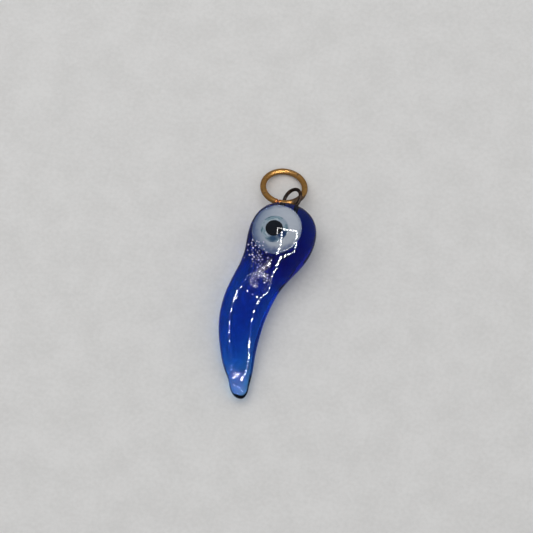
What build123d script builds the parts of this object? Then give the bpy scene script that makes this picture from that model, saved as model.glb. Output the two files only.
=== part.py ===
from build123d import *
from math import atan2, copysign, cos, degrees, pi, radians, sin, sqrt
import os

# Glass evil-eye horn charm with its embedded wire loop and a plain split jump ring.
#
# The charm lies on its back: +Y runs along the glass from the pointed tip to the loop, +Z comes
# up out of the face that carries the eye, and z = 0 is the surface that it lies on. The origin
# is the middle of the underside of the whole charm's bounding box. Millimetres throughout.

# Where the tip of the glass stands from the origin
tip_x = 0.59
tip_y = -20.83

# The glass, cut across its length. Each row is one slice:
# (distance from the tip, sideways shift of the middle, half width, half thickness, height of the middle)
slices = [
    (0.12, -0.32, 0.58, 0.50, 1.70),
    (1.00, -0.55, 1.36, 1.16, 1.67),
    (2.80, -0.98, 1.80, 1.37, 1.57),
    (5.00, -1.72, 2.50, 1.58, 1.60),
    (8.00, -2.50, 3.05, 2.16, 2.18),
    (11.0, -2.98, 3.50, 2.58, 2.59),
    (14.0, -3.05, 3.78, 2.80, 2.80),
    (17.0, -2.72, 3.97, 2.94, 2.95),
    (19.5, -2.18, 4.10, 3.10, 3.11),
    (22.0, -1.25, 4.42, 3.42, 3.44),
    (24.5, -0.38, 5.02, 3.95, 3.98),
    (27.0, -0.05, 5.52, 4.35, 4.36),
    (29.0, 0.05, 5.55, 4.40, 4.40),
    (31.0, 0.10, 5.05, 4.05, 4.35),
    (32.4, 0.12, 4.10, 3.32, 4.30),
    (33.3, 0.10, 2.95, 2.40, 4.25),
    (33.8, 0.05, 1.75, 1.42, 4.22),
]
tip_height = 1.70
glass_length = 34.0
head_end_height = 4.20
# How square the slices are: 2 is a plain ellipse, more is fuller at the shoulders
top_fullness = 2.1
back_fullness = 2.5
# The crest of every slice stands this share of the half width to the left of its middle
crest_shift = 0.20
# The smooth skin bulges a hair past the slices, so they are raised to keep it off the table
glass_lift = 0.043

# The eye: three dots of glass melted into the top of the head, one inside the other. Each of
# the two wide dots fills the head down to a ball that is sunk into it from above.
white_x = -1.00
white_y = 28.10
iris_x = -1.25
iris_y = 27.85
eye_surface_height = 8.80
eye_lean = 1.5
white_ball_radius = 10.5
white_depth = 2.2
iris_ball_radius = 3.6
iris_depth = 1.35
# The pupil is a lens: a low dome above its rim and a deeper one below
pupil_rim_radius = 1.45
pupil_rim_depth = 0.15
pupil_rise = 0.36
pupil_depth = 1.0

# The iron wire: a loop outside the head and two legs buried in the glass
wire_diameter = 0.60
loop_radius = 1.81
loop_x = -0.06
loop_y = 35.66
loop_height = 2.84
loop_roll = 42.0
leg_length = 4.6
leg_gap = 2.4
bend_inside_radius = 1.0

# The jump ring: 1 mm wire bent to 8 mm outside, butted with a hair of a gap
ring_wire_diameter = 1.0
ring_outside_diameter = 8.0
ring_x = -2.02
ring_y = 37.86
ring_tilt = 20.0
ring_gap = 0.12
ring_gap_angle = 266.0


def slice_point(half_width, half_thickness, angle):
    """A point on a slice: an ellipse with fuller shoulders, flatter on the back."""
    c = cos(radians(angle))
    s = sin(radians(angle))
    fullness = top_fullness if s >= 0 else back_fullness
    across = copysign(half_width * abs(c) ** (2 / fullness), c)
    up = copysign(half_thickness * abs(s) ** (2 / fullness), s)
    return (across - crest_shift * half_width * max(s, 0) ** 2, up)


# The lengths above are taken from the tip, so everything is placed from there.
def place(x, y, z):
    return (x + tip_x, y + tip_y, z)


# Glass blank: one smooth skin through the slices, closed to a point at both round ends.
sections = [Vertex(*place(-0.28, 0.0, tip_height))]
for along, shift, half_width, half_thickness, height in slices:
    middle = place(shift, along, height + glass_lift)
    across_the_charm = Plane(origin=middle, x_dir=(1, 0, 0), z_dir=(0, -1, 0))
    with BuildSketch(across_the_charm) as outline:
        with BuildLine():
            around = [slice_point(half_width, half_thickness, step * 45) for step in range(8)]
            Spline(*around, periodic=True)
        make_face()
    sections.append(outline.sketch.faces()[0])
sections.append(Vertex(*place(0.0, glass_length, head_end_height)))

with BuildPart() as glass_blank:
    loft(sections)

# Wire: two straight legs and the open part of a circle, in a plane rolled about the length of
# the charm so that the jump ring can pass through it.
loop_plane = Plane(
    origin=place(loop_x, loop_y, loop_height),
    x_dir=(cos(radians(loop_roll)), 0, sin(radians(loop_roll))),
    z_dir=(-sin(radians(loop_roll)), 0, cos(radians(loop_roll))),
)
bend_across = leg_gap / 2 + bend_inside_radius
bend_along = -sqrt((loop_radius + bend_inside_radius) ** 2 - bend_across**2)
bend_turn = degrees(atan2(-bend_along, bend_across))
with BuildPart() as hanger_wire:
    with BuildLine(loop_plane) as wire_path:
        leg = Line((-leg_gap / 2, bend_along - leg_length), (-leg_gap / 2, bend_along))
        bend = JernArc(leg @ 1, leg % 1, bend_inside_radius, bend_turn)
        loop = JernArc(bend @ 1, bend % 1, loop_radius, -180 - 2 * bend_turn)
        second_bend = JernArc(loop @ 1, loop % 1, bend_inside_radius, bend_turn)
        Line(second_bend @ 1, (leg_gap / 2, bend_along - leg_length))
    with BuildSketch(Plane(origin=leg @ 0, z_dir=leg % 0)):
        Circle(wire_diameter / 2)
    sweep()
hanger_wire.part.label = "hanger_wire"


def over_eye(x, y, distance):
    """The point that far out of the glass over (x, y), along the line that the eye looks down."""
    lean = radians(eye_lean)
    return place(x - distance * sin(lean), y, eye_surface_height + distance * cos(lean))


def cap_ball_radius(rim_radius, cap_height):
    """Radius of the ball that has a cap of this height over a rim of this radius."""
    return (rim_radius**2 + cap_height**2) / (2 * cap_height)


# Pupil: a lens that stands a little proud of the iris around it.
upper_ball_radius = cap_ball_radius(pupil_rim_radius, pupil_rise)
lower_ball_radius = cap_ball_radius(pupil_rim_radius, pupil_depth)
with BuildPart() as eye_pupil:
    with Locations(over_eye(iris_x, iris_y, pupil_rise - pupil_rim_depth - upper_ball_radius)):
        Sphere(upper_ball_radius)
    with Locations(over_eye(iris_x, iris_y, lower_ball_radius - pupil_rim_depth - pupil_depth)):
        Sphere(lower_ball_radius, mode=Mode.INTERSECT)
eye_pupil.part.label = "eye_pupil"

# Iris and white: the part of the head inside each ball, less the dot within it.
iris_centre = over_eye(iris_x, iris_y, iris_ball_radius - iris_depth)
white_centre = over_eye(white_x, white_y, white_ball_radius - white_depth)
with BuildPart() as eye_iris:
    add(glass_blank.part)
    with Locations(iris_centre):
        Sphere(iris_ball_radius, mode=Mode.INTERSECT)
    add(eye_pupil.part, mode=Mode.SUBTRACT)
eye_iris.part.label = "eye_iris"

with BuildPart() as eye_white:
    add(glass_blank.part)
    with Locations(white_centre):
        Sphere(white_ball_radius, mode=Mode.INTERSECT)
    with Locations(iris_centre):
        Sphere(iris_ball_radius, mode=Mode.SUBTRACT)
eye_white.part.label = "eye_white"

# Blue glass: everything else of the blank, with a cavity that grips the legs of the wire.
with BuildPart() as glass_horn:
    add(glass_blank.part)
    with Locations(white_centre):
        Sphere(white_ball_radius, mode=Mode.SUBTRACT)
    add(hanger_wire.part, mode=Mode.SUBTRACT)
glass_horn.part.label = "glass_horn"

# Jump ring: round wire carried round a circle, short of a full turn by the gap at its butted
# ends. It leans on the loop on one side and touches the table on the other.
bend_radius = (ring_outside_diameter - ring_wire_diameter) / 2
ring_lean = radians(ring_tilt)
ring_centre = place(ring_x, ring_y, ring_wire_diameter / 2 + bend_radius * sin(ring_lean))
ring_plane = Plane(origin=ring_centre, x_dir=(1, 0, 0), z_dir=(0, sin(ring_lean), cos(ring_lean)))
gap_turn = 180 * ring_gap / (pi * bend_radius)
first_end = radians(ring_gap_angle + gap_turn / 2)
outwards = ring_plane.x_dir * cos(first_end) + ring_plane.y_dir * sin(first_end)
end_face = Plane(origin=ring_centre, x_dir=outwards, z_dir=outwards.cross(ring_plane.z_dir))
with BuildPart() as jump_ring:
    with BuildSketch(end_face):
        with Locations((bend_radius, 0)):
            Circle(ring_wire_diameter / 2)
    revolve(axis=Axis(ring_centre, ring_plane.z_dir), revolution_arc=360 - gap_turn)
jump_ring.part.label = "jump_ring"

os.makedirs("parts", exist_ok=True)
export_step(glass_horn.part, "parts/glass_horn.step")
export_step(eye_white.part, "parts/eye_white.step")
export_step(eye_iris.part, "parts/eye_iris.step")
export_step(eye_pupil.part, "parts/eye_pupil.step")
export_step(hanger_wire.part, "parts/hanger_wire.step")
export_step(jump_ring.part, "parts/jump_ring.step")
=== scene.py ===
from math import atan2, cos, pi, radians, sin, sqrt, tan
import random
import bmesh
import bpy
import numpy as np
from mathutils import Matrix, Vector, noise


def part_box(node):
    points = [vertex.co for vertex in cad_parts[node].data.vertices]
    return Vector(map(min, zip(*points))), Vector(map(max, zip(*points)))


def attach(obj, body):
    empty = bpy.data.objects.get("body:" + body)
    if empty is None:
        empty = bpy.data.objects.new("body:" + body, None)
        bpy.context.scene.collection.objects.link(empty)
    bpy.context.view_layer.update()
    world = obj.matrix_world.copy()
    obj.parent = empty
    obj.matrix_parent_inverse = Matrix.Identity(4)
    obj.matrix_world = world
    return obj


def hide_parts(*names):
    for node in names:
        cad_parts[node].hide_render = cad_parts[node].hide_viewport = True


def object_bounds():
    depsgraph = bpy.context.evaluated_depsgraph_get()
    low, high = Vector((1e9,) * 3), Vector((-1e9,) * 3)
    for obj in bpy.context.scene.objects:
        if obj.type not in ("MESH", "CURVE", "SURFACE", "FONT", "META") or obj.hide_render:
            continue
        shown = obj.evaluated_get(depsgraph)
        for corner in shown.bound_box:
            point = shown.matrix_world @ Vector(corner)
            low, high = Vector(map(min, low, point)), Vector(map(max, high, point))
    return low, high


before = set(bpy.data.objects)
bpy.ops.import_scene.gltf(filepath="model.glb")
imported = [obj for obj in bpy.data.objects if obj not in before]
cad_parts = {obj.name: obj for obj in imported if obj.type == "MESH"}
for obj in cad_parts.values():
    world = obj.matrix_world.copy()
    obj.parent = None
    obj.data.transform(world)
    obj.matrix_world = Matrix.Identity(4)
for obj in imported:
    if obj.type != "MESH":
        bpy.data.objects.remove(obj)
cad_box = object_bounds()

# Camera. It stands over the charm a little to the right, as far away as a hand holds it, and
# looks down steeply at a trinket that lies on its back.
mm = 0.001
charm_middle = (cad_box[0] + cad_box[1]) / 2
aim_shift = Vector((-1.0, 3.2, -4.5))
aim_point = charm_middle + aim_shift * mm
camera_turn = radians(14)
camera_rise = radians(70)
camera_distance = 593 * mm
lens_length = 240
sensor_width = 36
towards_camera = Vector(
    (sin(camera_turn) * cos(camera_rise), -cos(camera_turn) * cos(camera_rise), sin(camera_rise))
)
camera = bpy.data.objects.new("camera", bpy.data.cameras.new("camera"))
camera.data.lens = lens_length
camera.data.sensor_width = sensor_width
camera.data.clip_start = 5 * mm
camera.location = aim_point + towards_camera * camera_distance
camera.rotation_euler = towards_camera.to_track_quat("Z", "Y").to_euler()
bpy.context.scene.collection.objects.link(camera)
bpy.context.scene.camera = camera
bpy.context.scene.view_settings.view_transform = "Standard"
# clear glass needs light to pass many skins before it gives up
bpy.context.scene.cycles.max_bounces = 16
bpy.context.scene.cycles.transmission_bounces = 14
bpy.context.scene.cycles.diffuse_bounces = 5
bpy.context.scene.cycles.sample_clamp_indirect = 6.0


# The light box: even pale walls, one big soft lamp high over the far left corner, and a frame of
# small square lamps round a window beside the lens, which shows as dots in wet-looking glass.
def new_mesh_piece(name, points, faces, material):
    """A piece of the scene from its points, in millimetres, with smooth faces of one material."""
    mesh = bpy.data.meshes.new(name)
    mesh.from_pydata([Vector(p) * mm for p in points], [], faces)
    mesh.materials.append(material)
    mesh.shade_smooth()
    piece = bpy.data.objects.new(name, mesh)
    bpy.context.scene.collection.objects.link(piece)
    return piece


def add_node(tree, kind, **inputs):
    """A node of that kind; inputs are given by socket name, with _ for a space, or by number."""
    new = tree.nodes.new(kind)
    for name, value in inputs.items():
        key = int(name[1:]) if name[0] == "n" and name[1:].isdigit() else name.replace("_", " ")
        socket = new.inputs[key]
        if isinstance(value, bpy.types.NodeSocket):
            tree.links.new(value, socket)
        else:
            socket.default_value = value
    return new


def seen_in_gloss(tree):
    """1 where the light box is seen mirrored in a shiny surface, otherwise 0."""
    path = tree.nodes.new("ShaderNodeLightPath")
    only = add_node(
        tree,
        "ShaderNodeMath",
        n0=path.outputs["Is Glossy Ray"],
        n1=path.outputs["Is Transmission Ray"],
    )
    only.operation = "SUBTRACT"
    only.use_clamp = True
    return only.outputs["Value"]


# the sides of the window: how far right of and above the lens they stand, in degrees
lamp_distance = 400
lamps_right = (4.0, 40.0)
lamps_up = (-25.0, 32.0)
lamps_along_side = 9
lamps_along_end = 6
lamp_half = 9.0
lamp_strength = 80.0
lamp_material = bpy.data.materials.new("lamp_light")
lamp_material.use_nodes = True
lamp_material.node_tree.nodes.clear()
tree = lamp_material.node_tree
lamp_colour = (1.0, 0.98, 0.96, 1)
lamp_glow = add_node(tree, "ShaderNodeEmission", Color=lamp_colour, Strength=lamp_strength)
add_node(tree, "ShaderNodeOutputMaterial", Surface=lamp_glow.outputs["Emission"])
camera_right = Vector((cos(camera_turn), sin(camera_turn), 0))
camera_up = towards_camera.cross(camera_right)
lamp_spots = []
for number in range(lamps_along_side):
    share = number / (lamps_along_side - 1)
    for right in lamps_right:
        lamp_spots.append((right, lamps_up[0] + (lamps_up[1] - lamps_up[0]) * share))
for number in range(1, lamps_along_end - 1):
    share = number / (lamps_along_end - 1)
    for up in lamps_up:
        lamp_spots.append((lamps_right[0] + (lamps_right[1] - lamps_right[0]) * share, up))
lamp_points = []
lamp_faces = []
for right, up in lamp_spots:
    spot = towards_camera + camera_right * tan(radians(right)) + camera_up * tan(radians(up))
    facing = spot.normalized()
    lamp_side = facing.cross(camera_up).normalized()
    lamp_end = facing.cross(lamp_side)
    first = len(lamp_points)
    for step_right, step_up in ((-1, -1), (-1, 1), (1, 1), (1, -1)):
        corner = (lamp_side * step_right + lamp_end * step_up) * lamp_half
        lamp_points.append(charm_middle / mm + facing * lamp_distance + corner)
    lamp_faces.append((first, first + 1, first + 2, first + 3))
lamps = new_mesh_piece("lamps", lamp_points, lamp_faces, lamp_material)
lamps.visible_camera = False
lamps.visible_diffuse = False
lamps.visible_transmission = False
lamps.visible_shadow = False

# the big soft lamp that lights the charm and the floor, and isn't mirrored in them
soft_lamp_size = 0.60
soft_lamp_power = 1.16
soft_lamp_place = Vector((-0.14, 0.13, 0.50))
soft_lamp = bpy.data.objects.new("soft_lamp", bpy.data.lights.new("soft_lamp", "AREA"))
soft_lamp.data.shape = "SQUARE"
soft_lamp.data.size = soft_lamp_size
soft_lamp.data.energy = soft_lamp_power
soft_lamp.data.color = (1.0, 0.995, 0.985)
soft_lamp.location = charm_middle + soft_lamp_place
soft_lamp.rotation_euler = (soft_lamp.location - charm_middle).to_track_quat("Z", "Y").to_euler()
soft_lamp.visible_glossy = False
bpy.context.scene.collection.objects.link(soft_lamp)

world = bpy.data.worlds.new("light_box_walls")
world.use_nodes = True
world.node_tree.nodes.clear()
sky = world.node_tree
look = add_node(sky, "ShaderNodeTexCoord")
height_of_look = add_node(sky, "ShaderNodeSeparateXYZ", Vector=look.outputs["Generated"])
# the walls' brightness between level with the floor, 0, and overhead, 1, and the share of it
# that gloss mirrors
wall_greys = ((0.25, 0.55), (0.45, 0.48), (0.62, 0.45))
mirrored_share = 0.25
wall_ramp = add_node(sky, "ShaderNodeValToRGB", Fac=height_of_look.outputs["Z"])
wall_ramp.color_ramp.elements[0].position = 0.0
wall_ramp.color_ramp.elements[0].color = (0.60, 0.60, 0.60, 1)
wall_ramp.color_ramp.elements[1].position = 1.0
wall_ramp.color_ramp.elements[1].color = (0.44, 0.44, 0.445, 1)
for place_on_ramp, grey in wall_greys:
    wall_ramp.color_ramp.elements.new(place_on_ramp).color = (grey, grey, grey * 1.01, 1)
wall_strength = add_node(sky, "ShaderNodeMapRange", Value=seen_in_gloss(sky))
wall_strength.inputs["To Min"].default_value = 1.0
wall_strength.inputs["To Max"].default_value = mirrored_share
wall_glow = add_node(
    sky,
    "ShaderNodeBackground",
    Color=wall_ramp.outputs["Color"],
    Strength=wall_strength.outputs["Result"],
)
add_node(sky, "ShaderNodeOutputWorld", Surface=wall_glow.outputs["Background"])
bpy.context.scene.world = world


# The floor of the light box: a sheet of matt white board with a fine tooth and faint clouding,
# lying a hair under the charm.
def new_material(name):
    """An empty node material, its tree and its shader."""
    material = bpy.data.materials.new(name)
    material.use_nodes = True
    tree = material.node_tree
    tree.nodes.clear()
    shader = tree.nodes.new("ShaderNodeBsdfPrincipled")
    add_node(tree, "ShaderNodeOutputMaterial", Surface=shader.outputs["BSDF"])
    return material, tree, shader


def millimetres(tree):
    """The place on the piece, in millimetres."""
    place = add_node(tree, "ShaderNodeTexCoord")
    scale = add_node(tree, "ShaderNodeVectorMath", n0=place.outputs["Object"])
    scale.operation = "SCALE"
    scale.inputs["Scale"].default_value = 1 / mm
    return scale.outputs["Vector"]


def mixed(tree, factor, first, second):
    """A colour between two colours; either may be a plain colour or another node's output."""
    mix = tree.nodes.new("ShaderNodeMix")
    mix.data_type = "RGBA"
    by_name = {s.identifier: s for s in mix.inputs}
    for key, value in (("Factor_Float", factor), ("A_Color", first), ("B_Color", second)):
        if isinstance(value, bpy.types.NodeSocket):
            tree.links.new(value, by_name[key])
        else:
            by_name[key].default_value = value
    return [s for s in mix.outputs if s.identifier == "Result_Color"][0]


def cloud(tree, place, scale, detail=3.0):
    """Soft noise over a place."""
    return add_node(tree, "ShaderNodeTexNoise", Vector=place, Scale=scale, Detail=detail)


# the white of the board between the hollows and the tops of its tooth, and the painted shade it
# takes where gloss mirrors it
board_dark = (0.765, 0.762, 0.750, 1)
board_light = (0.835, 0.832, 0.822, 1)
board_painted_shade_in_gloss = (0.15, 0.15, 0.16, 1)
floor_material, tree, shader = new_material("white_board")
place = millimetres(tree)
board_grain = add_node(
    tree,
    "ShaderNodeMath",
    n0=cloud(tree, place, 1.5, 5.0).outputs["Fac"],
    n1=cloud(tree, place, 0.18).outputs["Fac"],
)
board_grain.operation = "ADD"
board_ramp = add_node(tree, "ShaderNodeMapRange", Value=board_grain.outputs["Value"])
board_ramp.inputs["From Min"].default_value = 0.75
board_ramp.inputs["From Max"].default_value = 1.25
board_colour = mixed(tree, board_ramp.outputs["Result"], board_dark, board_light)
# painted shade: the board is painted dark where shiny surfaces mirror it, so its reflections are dim
tree.links.new(
    mixed(tree, seen_in_gloss(tree), board_colour, board_painted_shade_in_gloss), shader.inputs["Base Color"]
)
shader.inputs["Roughness"].default_value = 0.75
shader.inputs["Specular IOR Level"].default_value = 0.25
floor_half = 1500
floor_height = -0.02
floor_corners = [
    (-floor_half, -floor_half, floor_height),
    (floor_half, -floor_half, floor_height),
    (floor_half, floor_half, floor_height),
    (-floor_half, floor_half, floor_height),
]
floor = new_mesh_piece("floor", floor_corners, [(0, 1, 2, 3)], floor_material)


# The horn: cobalt glass drawn out of a hot gather by hand, thickest and round at the head that
# carries the eye, arched and narrowing to a blunt tip, with a round mark left by the tool.
horn_low, horn_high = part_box("glass_horn")
# the tip lies this far to the right of the middle of the glass
tip_aside = 0.583
tip_x = (horn_low.x + horn_high.x) / 2 / mm + tip_aside
tip_y = horn_low.y / mm
horn_length = (horn_high.y - horn_low.y) / mm
# Distance from the tip, shift of the middle, half width, half thickness, height of the middle
horn_rows = np.array(
    [
        (0.00, -0.28, 0.00, 0.00, 1.70),
        (0.12, -0.32, 0.58, 0.50, 1.70),
        (1.00, -0.55, 1.36, 1.16, 1.67),
        (2.80, -0.98, 1.80, 1.37, 1.57),
        (5.00, -1.72, 2.50, 1.58, 1.62),
        (8.00, -2.50, 3.05, 2.18, 2.21),
        (11.0, -2.98, 3.50, 2.58, 2.61),
        (14.0, -3.05, 3.78, 2.80, 2.82),
        (17.0, -2.72, 3.97, 2.87, 2.90),
        (19.5, -2.18, 4.10, 3.00, 3.04),
        (22.0, -1.25, 4.42, 3.40, 3.45),
        (24.5, -0.38, 5.02, 3.95, 4.00),
        (27.0, -0.05, 5.52, 4.35, 4.38),
        (29.0, 0.05, 5.55, 4.40, 4.42),
        (31.0, 0.10, 5.05, 4.05, 4.37),
        (32.4, 0.12, 4.10, 3.32, 4.32),
        (33.3, 0.10, 2.95, 2.40, 4.25),
        (33.8, 0.05, 1.75, 1.42, 4.22),
        (34.0, 0.00, 0.00, 0.00, 4.20),
    ]
)
rings = 280
points_round = 144
smoothing_passes = 24
stations = horn_length * (1 - np.cos(np.linspace(0, pi, rings + 1))) / 2


def carry(column):
    """One column of the rows, carried smoothly to every station along the horn."""
    ends = horn_rows[:, 0] * horn_length / horn_rows[-1, 0]
    slope = np.gradient(column, ends)
    row = np.clip(np.searchsorted(ends, stations, side="right") - 1, 0, len(ends) - 2)
    gap = ends[row + 1] - ends[row]
    t = (stations - ends[row]) / gap
    carried = (
        (1 + 2 * t) * (1 - t) ** 2 * column[row]
        + t * (1 - t) ** 2 * gap * slope[row]
        + t**2 * (3 - 2 * t) * column[row + 1]
        - t**2 * (1 - t) * gap * slope[row + 1]
    )
    for _ in range(smoothing_passes):
        carried[1:-1] = (carried[:-2] + 2 * carried[1:-1] + carried[2:]) / 4
    return carried


horn_shift = carry(horn_rows[:, 1])
horn_half_width = np.sqrt(np.maximum(carry(horn_rows[:, 2] ** 2), 0))
horn_half_thickness = np.sqrt(np.maximum(carry(horn_rows[:, 3] ** 2), 0))
horn_middle = carry(horn_rows[:, 4])


def ease(value, start, end):
    """0 before start, 1 after end and a smooth rise between them."""
    t = np.clip((value - start) / (end - start), 0, 1)
    return t * t * (3 - 2 * t)


# where the head takes over and where the ridge starts and ends, in millimetres from the tip
head_begins = (16, 26)
ridge_begins = (9, 14)
ridge_ends = (21, 26)
# how full the slices are against an ellipse: the front of the body, what the head adds, the back
body_fullness = -0.075
head_fuller = 0.092
back_fullness = 0.095
# the crest stands this share of the half width to the left, less at the head
crest_lean = 0.58
head_lean_less = 0.52
# the rolled ridge down the right of the front, and the flatter face beside it
ridge_height = 0.055
ridge_angle = 0.80
ridge_width = 0.30
flat_angle = 1.65
flat_width = 0.45


def horn_slice(along, angles):
    """Across and up of the glass at a distance from the tip, for each angle round the slice."""
    half_width = np.interp(along, stations, horn_half_width)
    half_thickness = np.interp(along, stations, horn_half_thickness)
    head = ease(along, *head_begins)
    front_fullness = body_fullness + head_fuller * head
    share_front = 0.5 + 0.5 * np.sin(angles)
    fullness = back_fullness + (front_fullness - back_fullness) * share_front
    swell = 1 + fullness * np.sin(2 * angles) ** 2
    ridge = ridge_height * ease(along, *ridge_begins) * (1 - ease(along, *ridge_ends))
    swell = swell + ridge * np.exp(-(((angles - ridge_angle) / ridge_width) ** 2))
    swell = swell - 0.5 * ridge * np.exp(-(((angles - flat_angle) / flat_width) ** 2))
    lean = (crest_lean - head_lean_less * head) * half_width * np.maximum(np.sin(angles), 0) ** 2
    across = half_width * np.cos(angles) * swell - lean
    up = half_thickness * np.sin(angles) * swell
    across = across + np.interp(along, stations, horn_shift) + tip_x
    return across, up + np.interp(along, stations, horn_middle)


# the tool mark: a shallow dish with a raised rim, and a pit left of its middle
mark_x = tip_x - 1.80
mark_y = tip_y + 18.6
pit_x = tip_x - 2.15
dish_depth = 0.050
dish_edge = (1.5, 2.1)
rim_radius = 2.2
rim_width = 0.22
rim_height = 0.035
pit_radius = 0.34
pit_depth = 0.09
lip_radius = 0.6
lip_width = 0.2
lip_height = 0.04


def tool_mark(x, y):
    """How far the glass is pressed in or raised at a place, in millimetres."""
    distance = np.hypot(x - mark_x, y - mark_y)
    dish = -dish_depth * (1 - ease(distance, *dish_edge))
    rim = rim_height * np.exp(-(((distance - rim_radius) / rim_width) ** 2))
    from_pit = np.hypot(x - pit_x, y - mark_y)
    pit = -pit_depth * np.exp(-((from_pit / pit_radius) ** 2))
    lip = lip_height * np.exp(-(((from_pit - lip_radius) / lip_width) ** 2))
    return dish + rim + pit + lip


def front(x, y):
    """Height of the front of the glass over a place, in millimetres."""
    across, up = horn_slice(y - tip_y, np.linspace(0, pi, 361))
    order = np.argsort(across)
    return float(np.interp(x, across[order], up[order]))


# how far the skin wanders from its true shape, and how closely its waves follow each other
wander_depth = 0.020
waves_per_mm = 0.28
# the wander dies out this close to either end, and the tool mark only presses the front
calm_end = 3
front_from = 0.1
front_blend = 3
round_angles = np.linspace(0, 2 * pi, points_round, endpoint=False)
horn_points = [(tip_x + horn_shift[0], tip_y, horn_middle[0])]
for station in stations[1:-1]:
    across, up = horn_slice(station, round_angles)
    for x, z, angle in zip(across, up, round_angles):
        y = station + tip_y
        wander = noise.noise(Vector((x, y, z)) * waves_per_mm) * wander_depth
        wander = wander * min(1.0, station / calm_end, (horn_length - station) / calm_end)
        if sin(angle) > front_from:
            pressed = min(1.0, (sin(angle) - front_from) * front_blend)
            wander += float(tool_mark(x, y)) * pressed
        horn_points.append((x + wander * cos(angle), y, max(z + wander * sin(angle), 0.0)))
horn_points.append((tip_x + horn_shift[-1], tip_y + horn_length, horn_middle[-1]))
horn_faces = []
for turn in range(points_round):
    following = (turn + 1) % points_round
    horn_faces.append((0, 1 + turn, 1 + following))
    for ring in range(rings - 2):
        low = 1 + ring * points_round
        high = low + points_round
        horn_faces.append((low + turn, high + turn, high + following, low + following))
    last = 1 + (rings - 2) * points_round
    horn_faces.append((last + turn, len(horn_points) - 1, last + following))

# the glass swallows red first and lets blue through: what it takes off in a millimetre
taken_per_mm = (0.78, 0.37, 0.12)
horn_material, tree, shader = new_material("cobalt_glass")
shader.inputs["Base Color"].default_value = (1, 1, 1, 1)
shader.inputs["Transmission Weight"].default_value = 1.0
shader.inputs["IOR"].default_value = 1.45
output = tree.nodes["Material Output"]
absorption = tree.nodes.new("ShaderNodeVolumeAbsorption")
absorption.inputs["Density"].default_value = max(taken_per_mm) / mm
absorption.inputs["Color"].default_value = [1 - a / max(taken_per_mm) for a in taken_per_mm] + [1]
tree.links.new(absorption.outputs["Volume"], output.inputs["Volume"])

# how hand-worked glass ripples: long soft waves with a finer wave on them
ripple_group = bpy.data.node_groups.new("glass_ripple", "ShaderNodeTree")
ripple_group.interface.new_socket("Vector", in_out="INPUT", socket_type="NodeSocketVector")
ripple_group.interface.new_socket("Wave", in_out="INPUT", socket_type="NodeSocketFloat")
ripple_group.interface.new_socket("Height", in_out="OUTPUT", socket_type="NodeSocketFloat")
inlet = ripple_group.nodes.new("NodeGroupInput")
outlet = ripple_group.nodes.new("NodeGroupOutput")
wave = add_node(
    ripple_group,
    "ShaderNodeTexNoise",
    Vector=inlet.outputs["Vector"],
    Scale=inlet.outputs["Wave"],
    Detail=2.0,
    Roughness=0.35,
)
ripple_group.links.new(wave.outputs["Fac"], outlet.inputs["Height"])
ripple_waves = 500.0
ripple_strength = 0.06
ripple_depth = 0.05 * mm


def ripple(tree, shader):
    """Ripples the surface of a glass material."""
    place = add_node(tree, "ShaderNodeTexCoord")
    group = tree.nodes.new("ShaderNodeGroup")
    group.node_tree = ripple_group
    group.inputs["Wave"].default_value = ripple_waves
    tree.links.new(place.outputs["Object"], group.inputs["Vector"])
    bump = add_node(
        tree,
        "ShaderNodeBump",
        Height=group.outputs["Height"],
        Strength=ripple_strength,
        Distance=ripple_depth,
    )
    tree.links.new(bump.outputs["Normal"], shader.inputs["Normal"])


def mapped(tree, value, start, end, low=0.0, high=1.0):
    """A value carried from start..end to low..high with soft ends."""
    ramp = add_node(tree, "ShaderNodeMapRange", Value=value)
    ramp.interpolation_type = "SMOOTHSTEP"
    ramp.inputs["From Min"].default_value = start
    ramp.inputs["From Max"].default_value = end
    ramp.inputs["To Min"].default_value = low
    ramp.inputs["To Max"].default_value = high
    return ramp.outputs["Result"]


def near(tree, place, point):
    """Distance in millimetres from a point."""
    away = add_node(tree, "ShaderNodeVectorMath", n0=place, n1=point)
    away.operation = "DISTANCE"
    return away.outputs["Value"]


ripple(tree, shader)

# the skin is not as smooth where the glass was folded over, below the eye
smooth_roughness = 0.03
fold_roughness = 0.14
fold_top_x = tip_x - 2.5
fold_top_y = tip_y + 22.6
fold_end_x = tip_x - 1.6
fold_end_y = tip_y + 19.6
fold_edge = 3.1
fold_full = 2.0
place = millimetres(tree)
from_top = near(tree, place, (fold_top_x, fold_top_y, front(fold_top_x, fold_top_y)))
from_end = near(tree, place, (fold_end_x, fold_end_y, front(fold_end_x, fold_end_y)))
fold = add_node(tree, "ShaderNodeMath", n0=from_top, n1=from_end)
fold.operation = "MINIMUM"
frayed = add_node(
    tree, "ShaderNodeMath", n0=fold.outputs["Value"], n1=cloud(tree, place, 1.4).outputs["Fac"]
)
frayed.operation = "ADD"
tree.links.new(
    mapped(
        tree, frayed.outputs["Value"], fold_edge, fold_full, smooth_roughness, fold_roughness
    ),
    shader.inputs["Roughness"],
)
horn = new_mesh_piece("cobalt_horn", horn_points, horn_faces, horn_material)
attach(horn, "charm")
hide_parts("glass_horn")
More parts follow.
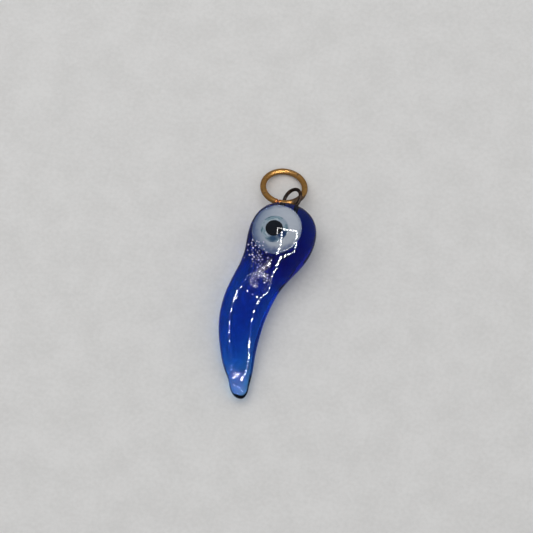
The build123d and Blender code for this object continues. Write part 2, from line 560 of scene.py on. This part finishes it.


# The white of the eye: a wide dot of opaque blue-white glass pressed into the hot head, the first of
# three dots laid one on the other, each proud of the last by a hair. Its colour carries painted
# shade: it is darker towards its left side, and darker and bluer towards its rim away from a point
# above its middle, which is partly blue glass crept over the rim and partly painted shade.
def new_dot(name, centre_x, centre_y, reach, rise, depth, material, dome=0.0):
    """A dot of glass melted into the front. reach gives its radius at an angle round it."""
    around = 96
    steps = 26
    edge_from = 0.94
    points = [(centre_x, centre_y, front(centre_x, centre_y) + rise + dome)]
    faces = []
    for step in range(1, steps + 1):
        share = sin(pi / 2 * step / steps)
        edge = max(0.0, (share - edge_from) / (1 - edge_from))
        for turn in range(around):
            angle = 2 * pi * turn / around
            x = centre_x + reach(angle) * share * cos(angle)
            y = centre_y + reach(angle) * share * sin(angle)
            height = rise * (1 - 3 * edge**2) + dome * (1 - share**2)
            points.append((x, y, front(x, y) + height))
    for step in range(steps - 1, 0, -1):
        share = sin(pi / 2 * step / steps)
        for turn in range(around):
            angle = 2 * pi * turn / around
            x = centre_x + reach(angle) * share * cos(angle)
            y = centre_y + reach(angle) * share * sin(angle)
            points.append((x, y, front(x, y) - 2 * rise - depth * sqrt(1 - share**2)))
    points.append((centre_x, centre_y, front(centre_x, centre_y) - 2 * rise - depth))
    layers = 2 * steps - 1
    for turn in range(around):
        following = (turn + 1) % around
        faces.append((0, 1 + turn, 1 + following))
        for layer in range(layers - 1):
            inner = 1 + layer * around
            outer = inner + around
            faces.append((inner + turn, outer + turn, outer + following, inner + following))
        last = 1 + (layers - 1) * around
        faces.append((last + turn, len(points) - 1, last + following))
    dot = new_mesh_piece(name, points, faces, material)
    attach(dot, "charm")
    return dot


white_x = tip_x - 1.00
white_y = tip_y + 28.10
eye_x = tip_x - 1.25
eye_y = tip_y + 27.85
# the white as lit and in painted shade, and the dark blue at the rim, partly blue glass over it and
# partly painted shade
lit_white_colours = ((0.40, 0.45, 0.54, 1), (0.52, 0.57, 0.64, 1))
shaded_white_colours = ((0.15, 0.21, 0.33, 1), (0.24, 0.31, 0.43, 1))
rim_blue_and_shade_colour = (0.05, 0.09, 0.24, 1)
least_shaded_uncovered_middle = (white_x + 0.2, white_y + 0.4, front(white_x, white_y))
rim_waviness = 1.6
white_material, tree, shader = new_material("white_glass")
place = millimetres(tree)
mottle = cloud(tree, place, 0.9)
left_side = add_node(tree, "ShaderNodeSeparateXYZ", Vector=place)
# painted shade: the white darkens towards its left side
painted_shade_to_left = mapped(tree, left_side.outputs["X"], eye_x - 4.2, eye_x + 1.0)
lit_white = mixed(tree, mottle.outputs["Fac"], *lit_white_colours)
shaded_white = mixed(tree, mottle.outputs["Fac"], *shaded_white_colours)
wavy = add_node(tree, "ShaderNodeMath", n0=mottle.outputs["Fac"], n1=rim_waviness)
wavy.operation = "MULTIPLY"
# partly blue glass over the rim and partly painted shade: darker and bluer from about 4 mm out from
# a point above the middle, with a wavy edge
from_middle = near(tree, place, least_shaded_uncovered_middle)
rim_reach = add_node(tree, "ShaderNodeMath", n0=from_middle, n1=wavy.outputs["Value"])
rim_reach.operation = "ADD"
rim_blue_and_shade = mapped(tree, rim_reach.outputs["Value"], 4.0, 5.4, 0.0, 0.85)
white_with_painted_shade = mixed(tree, painted_shade_to_left, shaded_white, lit_white)
tree.links.new(mixed(tree, rim_blue_and_shade, white_with_painted_shade, rim_blue_and_shade_colour), shader.inputs["Base Color"])
shader.inputs["Roughness"].default_value = 0.05
shader.inputs["IOR"].default_value = 1.50
shader.inputs["Coat Weight"].default_value = 0.5
shader.inputs["Coat Roughness"].default_value = 0.03
ripple(tree, shader)


def white_reach(angle):
    """Radius of the white dot, which is a little longer up the charm and not quite round."""
    return 4.12 + 0.22 * sin(angle) ** 2 + 0.10 * cos(angle - 0.6) + 0.05 * sin(3 * angle + 0.5)


white_dot = new_dot(
    "white_dot", white_x, white_y, white_reach, rise=0.012, depth=1.9, material=white_material
)
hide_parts("eye_white")


# The iris: a smaller dot of streaky grey-blue glass melted into the white one. The streaks were
# dragged about while it was hot, so its rings are broken, with a dark smear and a dark patch.
iris_shake = 1.3
worn_ring_colour = (0.36, 0.43, 0.52, 1)
smear_colour = (0.035, 0.085, 0.17, 1)
patch_colour = (0.012, 0.040, 0.13, 1)
iris_material, tree, shader = new_material("iris_glass")
place = millimetres(tree)
streaks = cloud(tree, place, 0.75, 4.0)
shaken = add_node(tree, "ShaderNodeVectorMath", n0=streaks.outputs["Color"], n1=(0.5, 0.5, 0.5))
shaken.operation = "SUBTRACT"
shaken_far = add_node(tree, "ShaderNodeVectorMath", n0=shaken.outputs["Vector"])
shaken_far.operation = "SCALE"
shaken_far.inputs["Scale"].default_value = iris_shake
moved = add_node(tree, "ShaderNodeVectorMath", n0=place, n1=shaken_far.outputs["Vector"])
eye_top = front(eye_x, eye_y)
from_eye = near(tree, moved.outputs["Vector"], (eye_x, eye_y, eye_top))
rings_ramp = add_node(tree, "ShaderNodeValToRGB", Fac=mapped(tree, from_eye, 0.0, 2.6))
iris_rings = (
    (0.00, (0.02, 0.03, 0.05)),
    (0.52, (0.03, 0.06, 0.10)),
    (0.62, (0.52, 0.62, 0.68)),
    (0.72, (0.16, 0.26, 0.33)),
    (0.82, (0.26, 0.37, 0.44)),
    (0.90, (0.07, 0.15, 0.20)),
    (1.00, (0.33, 0.42, 0.51)),
)
rings_ramp.color_ramp.elements[0].position = iris_rings[0][0]
rings_ramp.color_ramp.elements[0].color = (*iris_rings[0][1], 1)
rings_ramp.color_ramp.elements[1].position = iris_rings[-1][0]
rings_ramp.color_ramp.elements[1].color = (*iris_rings[-1][1], 1)
for share, colour in iris_rings[1:-1]:
    rings_ramp.color_ramp.elements.new(share).color = (*colour, 1)
gaps = mapped(tree, cloud(tree, place, 0.8).outputs["Fac"], 0.47, 0.60, 0.0, 0.8)
broken_rings = mixed(tree, gaps, rings_ramp.outputs["Color"], worn_ring_colour)
from_smear = near(tree, moved.outputs["Vector"], (eye_x + 0.2, eye_y - 1.9, eye_top))
smeared = mixed(tree, mapped(tree, from_smear, 1.3, 0.4), broken_rings, smear_colour)
from_patch = near(tree, moved.outputs["Vector"], (eye_x + 1.55, eye_y - 0.75, eye_top))
patch = mapped(tree, from_patch, 1.25, 0.5)
tree.links.new(mixed(tree, patch, smeared, patch_colour), shader.inputs["Base Color"])
shader.inputs["Roughness"].default_value = 0.05
shader.inputs["IOR"].default_value = 1.50
shader.inputs["Coat Weight"].default_value = 0.5
shader.inputs["Coat Roughness"].default_value = 0.03
ripple(tree, shader)


def iris_reach(angle):
    """Radius of the iris, which is pulled a little to the lower right."""
    return 2.38 + 0.10 * cos(angle + 0.8) + 0.04 * sin(3 * angle)


iris_dot = new_dot(
    "iris_dot", eye_x, eye_y, iris_reach, rise=0.024, depth=1.2, material=iris_material
)
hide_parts("eye_iris")


# The pupil: a bead of black glass set on the iris last. It was left standing as a low dome, a
# little smoky, and not quite round.
pupil_colours = ((0.004, 0.006, 0.010, 1), (0.012, 0.016, 0.024, 1))
pupil_material, tree, shader = new_material("pupil_glass")
place = millimetres(tree)
smoke = cloud(tree, place, 1.6)
tree.links.new(mixed(tree, smoke.outputs["Fac"], *pupil_colours), shader.inputs["Base Color"])
shader.inputs["Roughness"].default_value = 0.06
shader.inputs["IOR"].default_value = 1.50
ripple(tree, shader)


def pupil_reach(angle):
    """Radius of the pupil."""
    return 1.44 + 0.05 * cos(2 * angle - 0.4) + 0.02 * sin(3 * angle)


pupil_dot = new_dot(
    "pupil_dot", eye_x, eye_y, pupil_reach, rise=0.030, depth=0.9, material=pupil_material, dome=0.17
)
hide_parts("eye_pupil")


# Seeds: a trail of foam, tiny closed bubbles caught in the skin below the eye where the hot glass
# was folded, and a few more in the tool mark. They are drawn as opaque specks painted pale violet to
# white, a painted reflection for the light the bubbles throw back inside the glass.
random.seed(7)
seed_glint_colours = ((0.42, 0.38, 0.84, 1), (1.0, 0.97, 1.0, 1))
seed_material, tree, shader = new_material("glass_seed")
place = millimetres(tree)
# painted reflection: the specks' pale violet to white colour
tree.links.new(
    mixed(tree, cloud(tree, place, 3.0).outputs["Fac"], *seed_glint_colours), shader.inputs["Base Color"]
)
tree.links.new(
    mapped(tree, cloud(tree, place, 6.0).outputs["Fac"], 0.3, 0.7, 0.08, 0.30),
    shader.inputs["Roughness"],
)
seed_ball = bmesh.new()
bmesh.ops.create_icosphere(seed_ball, subdivisions=2, radius=1.0)
ball_points = [tuple(vertex.co) for vertex in seed_ball.verts]
ball_faces = [tuple(vertex.index for vertex in face.verts) for face in seed_ball.faces]
seed_ball.free()
seed_points = []
seed_faces = []
seed_spots = []
# how far apart the bubbles keep, and how deep they sit and how flat they are against their radius
least_apart = 0.36
seed_sink = 0.08
seed_flatness = 0.4
longest_seed = 1.35


def add_seed(x, y, radius):
    """A bubble in the skin, flattened, and pulled a little longer one way, if there is room."""
    if any(sqrt((x - a) ** 2 + (y - b) ** 2) < least_apart for a, b in seed_spots):
        return
    seed_spots.append((x, y))
    z = front(x, y) - radius * seed_sink
    turn = random.uniform(0, pi)
    longer = random.uniform(1.0, longest_seed)
    first = len(seed_points)
    for px, py, pz in ball_points:
        px = px * longer
        across = px * cos(turn) - py * sin(turn)
        along = px * sin(turn) + py * cos(turn)
        seed_points.append(
            (x + across * radius, y + along * radius, z + pz * radius * seed_flatness)
        )
    for face in ball_faces:
        seed_faces.append(tuple(first + corner for corner in face))


# the trail's middle and how widely it spreads, from the eye down to the tool mark
trail = (
    (-3.3, 25.0, 0.55),
    (-3.1, 23.6, 0.70),
    (-2.7, 22.5, 0.75),
    (-2.1, 21.3, 0.60),
    (-1.2, 20.3, 0.50),
    (-0.4, 19.6, 0.40),
)
trail_tries = 240
trail_radii = (0.08, 0.10, 0.12, 0.16)
mark_tries = 10
mark_radii = (0.07, 0.10, 0.13)
for _ in range(trail_tries):
    spot = random.uniform(0, len(trail) - 1.001)
    here, there = trail[int(spot)], trail[int(spot) + 1]
    share = spot - int(spot)
    x, y, spread = (a + (b - a) * share for a, b in zip(here, there))
    x = tip_x + x + random.gauss(0, spread)
    y = tip_y + y + random.gauss(0, 0.35)
    add_seed(x, y, random.choice(trail_radii))
for _ in range(mark_tries):
    x = tip_x - 2.1 + random.gauss(0, 0.45)
    y = tip_y + 18.7 + random.gauss(0, 0.4)
    add_seed(x, y, random.choice(mark_radii))
seeds = new_mesh_piece("seeds", seed_points, seed_faces, seed_material)
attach(seeds, "charm")


# The hanging loop: iron wire bent by hand, its two legs melted into the head, black with fire
# scale and rusting a little.
def sweep_wire(name, path, radius_at, sides, material):
    """A round wire along a path of points in millimetres; radius_at gives its radius there."""
    path = [Vector(p) for p in path]
    points = []
    faces = []
    normal = None
    for number, here in enumerate(path):
        before = path[max(number - 1, 0)]
        after = path[min(number + 1, len(path) - 1)]
        forward = (after - before).normalized()
        if normal is None:
            normal = forward.orthogonal().normalized()
        normal = (normal - forward * normal.dot(forward)).normalized()
        sideways = forward.cross(normal)
        for side in range(sides):
            angle = 2 * pi * side / sides
            radius = radius_at(number / (len(path) - 1), angle, here)
            points.append(here + (normal * cos(angle) + sideways * sin(angle)) * radius)
    for number in range(len(path) - 1):
        for side in range(sides):
            following = (side + 1) % sides
            a = number * sides
            faces.append((a + side, a + following, a + sides + following, a + sides + side))
    faces.append(tuple(range(sides - 1, -1, -1)))
    faces.append(tuple((len(path) - 1) * sides + side for side in range(sides)))
    return new_mesh_piece(name, points, faces, material)


wire_radius = 0.30
loop_radius = 1.81
loop_middle = Vector((tip_x - 0.06, tip_y + 35.66, 2.84))
loop_roll = radians(42)
loop_across = Vector((cos(loop_roll), 0, sin(loop_roll)))
loop_along = Vector((0, 1, 0))
leg_length = 4.6
half_gap = 1.2
bend_radius = 1.0
bend_across = half_gap + bend_radius
bend_along = -sqrt((loop_radius + bend_radius) ** 2 - bend_across**2)
bend_turn = atan2(-bend_along, bend_across)
leg_steps = 24
bend_steps = 16
loop_steps = 96
flat_path = []
for step in range(leg_steps):
    flat_path.append((-half_gap, bend_along - leg_length * (1 - step / leg_steps)))
for step in range(bend_steps + 1):
    angle = bend_turn * step / bend_steps
    flat_path.append(
        (-bend_across + bend_radius * cos(angle), bend_along + bend_radius * sin(angle))
    )
for step in range(1, loop_steps):
    angle = pi + bend_turn - (pi + 2 * bend_turn) * step / loop_steps
    flat_path.append((loop_radius * cos(angle), loop_radius * sin(angle)))
for step in range(bend_steps + 1):
    angle = bend_turn * (1 - step / bend_steps)
    flat_path.append(
        (bend_across - bend_radius * cos(angle), bend_along + bend_radius * sin(angle))
    )
for step in range(leg_steps):
    flat_path.append((half_gap, bend_along - leg_length * (step + 1) / leg_steps))
wire_path = [loop_middle + loop_across * a + loop_along * b for a, b in flat_path]


def wire_radius_at(share, angle, here):
    """The wire's radius, a little uneven with scale."""
    return wire_radius * (1 + 0.05 * noise.noise(here * 1.7 + Vector((cos(angle), sin(angle), 0))))


# grime and tarnish: cloudy patches with finer specks in them
tarnish_group = bpy.data.node_groups.new("tarnish", "ShaderNodeTree")
tarnish_group.interface.new_socket("Vector", in_out="INPUT", socket_type="NodeSocketVector")
tarnish_group.interface.new_socket("Patch", in_out="INPUT", socket_type="NodeSocketFloat")
tarnish_group.interface.new_socket("Amount", in_out="INPUT", socket_type="NodeSocketFloat")
tarnish_group.interface.new_socket("Mask", in_out="OUTPUT", socket_type="NodeSocketFloat")
inlet = tarnish_group.nodes.new("NodeGroupInput")
outlet = tarnish_group.nodes.new("NodeGroupOutput")
patches = add_node(
    tarnish_group,
    "ShaderNodeTexNoise",
    Vector=inlet.outputs["Vector"],
    Scale=inlet.outputs["Patch"],
    Detail=6.0,
    Roughness=0.62,
)
level = add_node(
    tarnish_group, "ShaderNodeMath", n0=patches.outputs["Fac"], n1=inlet.outputs["Amount"]
)
level.operation = "ADD"
sharp = mapped(tarnish_group, level.outputs["Value"], 0.92, 1.12)
tarnish_group.links.new(sharp, outlet.inputs["Mask"])


def tarnish(tree, place, patch_size, amount):
    """Mask of the tarnished patches; amount is from 0, clean, to 1, covered."""
    group = tree.nodes.new("ShaderNodeGroup")
    group.node_tree = tarnish_group
    tree.links.new(place, group.inputs["Vector"])
    group.inputs["Patch"].default_value = patch_size
    if isinstance(amount, bpy.types.NodeSocket):
        tree.links.new(amount, group.inputs["Amount"])
    else:
        group.inputs["Amount"].default_value = amount
    return group.outputs["Mask"]


fire_scale_colours = ((0.010, 0.008, 0.008, 1), (0.045, 0.030, 0.024, 1))
rust_colour = (0.10, 0.045, 0.022, 1)
wire_material, tree, shader = new_material("dark_iron")
place = millimetres(tree)
rust = tarnish(tree, place, 1.5, 0.42)
fire_scale = mixed(tree, cloud(tree, place, 3.0).outputs["Fac"], *fire_scale_colours)
tree.links.new(mixed(tree, rust, fire_scale, rust_colour), shader.inputs["Base Color"])
tree.links.new(mapped(tree, rust, 0, 1, 0.38, 0.75), shader.inputs["Roughness"])
tree.links.new(mapped(tree, rust, 0, 1, 0.75, 0.0), shader.inputs["Metallic"])
scale_bump = add_node(
    tree,
    "ShaderNodeBump",
    Height=cloud(tree, place, 5.0, 5.0).outputs["Fac"],
    Strength=0.5,
    Distance=0.04 * mm,
)
tree.links.new(scale_bump.outputs["Normal"], shader.inputs["Normal"])
wire = sweep_wire("iron_loop", wire_path, wire_radius_at, 28, wire_material)
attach(wire, "charm")
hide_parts("hanger_wire")


# The jump ring: brass-coloured gilt copper wire bent round and butted, worn to bare copper at the
# joint, with patches of patina. It is darker where it touches the iron loop, which is partly patina
# and partly painted shade, the loop's contact shadow and dark reflection on it.
ring_low, ring_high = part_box("jump_ring")
ring_middle = (ring_low + ring_high) / 2 / mm
ring_wire_radius = 0.50
ring_bend_radius = 3.50
ring_tilt = radians(20.0)
joint_angle = radians(266)
joint_half_gap = 0.06
joint_half_turn = joint_half_gap / ring_bend_radius
loop_touch_angle = radians(325)
ring_up = Vector((0, cos(ring_tilt), -sin(ring_tilt)))


def on_ring(angle):
    """The middle of the ring's wire at an angle."""
    spoke = Vector((1, 0, 0)) * cos(angle) + ring_up * sin(angle)
    return ring_middle + spoke * ring_bend_radius


ring_steps = 200
ring_path = []
for step in range(ring_steps + 1):
    share = step / ring_steps
    angle = joint_angle + joint_half_turn + share * (2 * pi - 2 * joint_half_turn)
    ring_path.append(on_ring(angle))


# the cut ends are rounded over this much of the radius and of the length
end_rounding = 0.12


def ring_radius_at(share, angle, here):
    """The ring's wire, with its cut ends rounded over and a faint unevenness from the pliers."""
    from_end = min(share, 1 - share) * 2 * pi * ring_bend_radius
    rounded = 1 - end_rounding * max(0.0, 1 - from_end / end_rounding) ** 2
    wear = 1 + 0.012 * noise.noise(here * 0.9)
    return min(ring_wire_radius * rounded * wear, ring_wire_radius)


gilt_colours = ((0.48, 0.235, 0.058, 1), (0.68, 0.375, 0.115, 1))
copper_colour = (0.78, 0.24, 0.07, 1)
patina_and_shade_colour = (0.11, 0.062, 0.030, 1)
ring_material, tree, shader = new_material("copper_gilt")
place = millimetres(tree)
joint = near(tree, place, tuple(on_ring(joint_angle)))
from_loop_touch = near(tree, place, tuple(on_ring(loop_touch_angle)))
# partly patina and partly painted shade: the dark patches grow towards where the loop touches, for
# its contact shadow and dark reflection
amount = mapped(tree, from_loop_touch, 0.6, 2.0, 0.72, 0.40)
patina_and_shade = tarnish(tree, place, 1.3, amount)
gilt = mixed(tree, cloud(tree, place, 0.6).outputs["Fac"], *gilt_colours)
bare = mixed(tree, mapped(tree, joint, 0.9, 0.35), gilt, copper_colour)
tree.links.new(mixed(tree, patina_and_shade, bare, patina_and_shade_colour), shader.inputs["Base Color"])
tree.links.new(mapped(tree, patina_and_shade, 0, 1, 0.75, 0.3), shader.inputs["Metallic"])
tree.links.new(mapped(tree, patina_and_shade, 0, 1, 0.36, 0.60), shader.inputs["Roughness"])
wear_bump = add_node(
    tree,
    "ShaderNodeBump",
    Height=cloud(tree, place, 4.0, 5.0).outputs["Fac"],
    Strength=0.6,
    Distance=0.04 * mm,
)
tree.links.new(wear_bump.outputs["Normal"], shader.inputs["Normal"])
ring_piece = sweep_wire("gilt_ring", ring_path, ring_radius_at, 40, ring_material)
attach(ring_piece, "ring")
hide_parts("jump_ring")
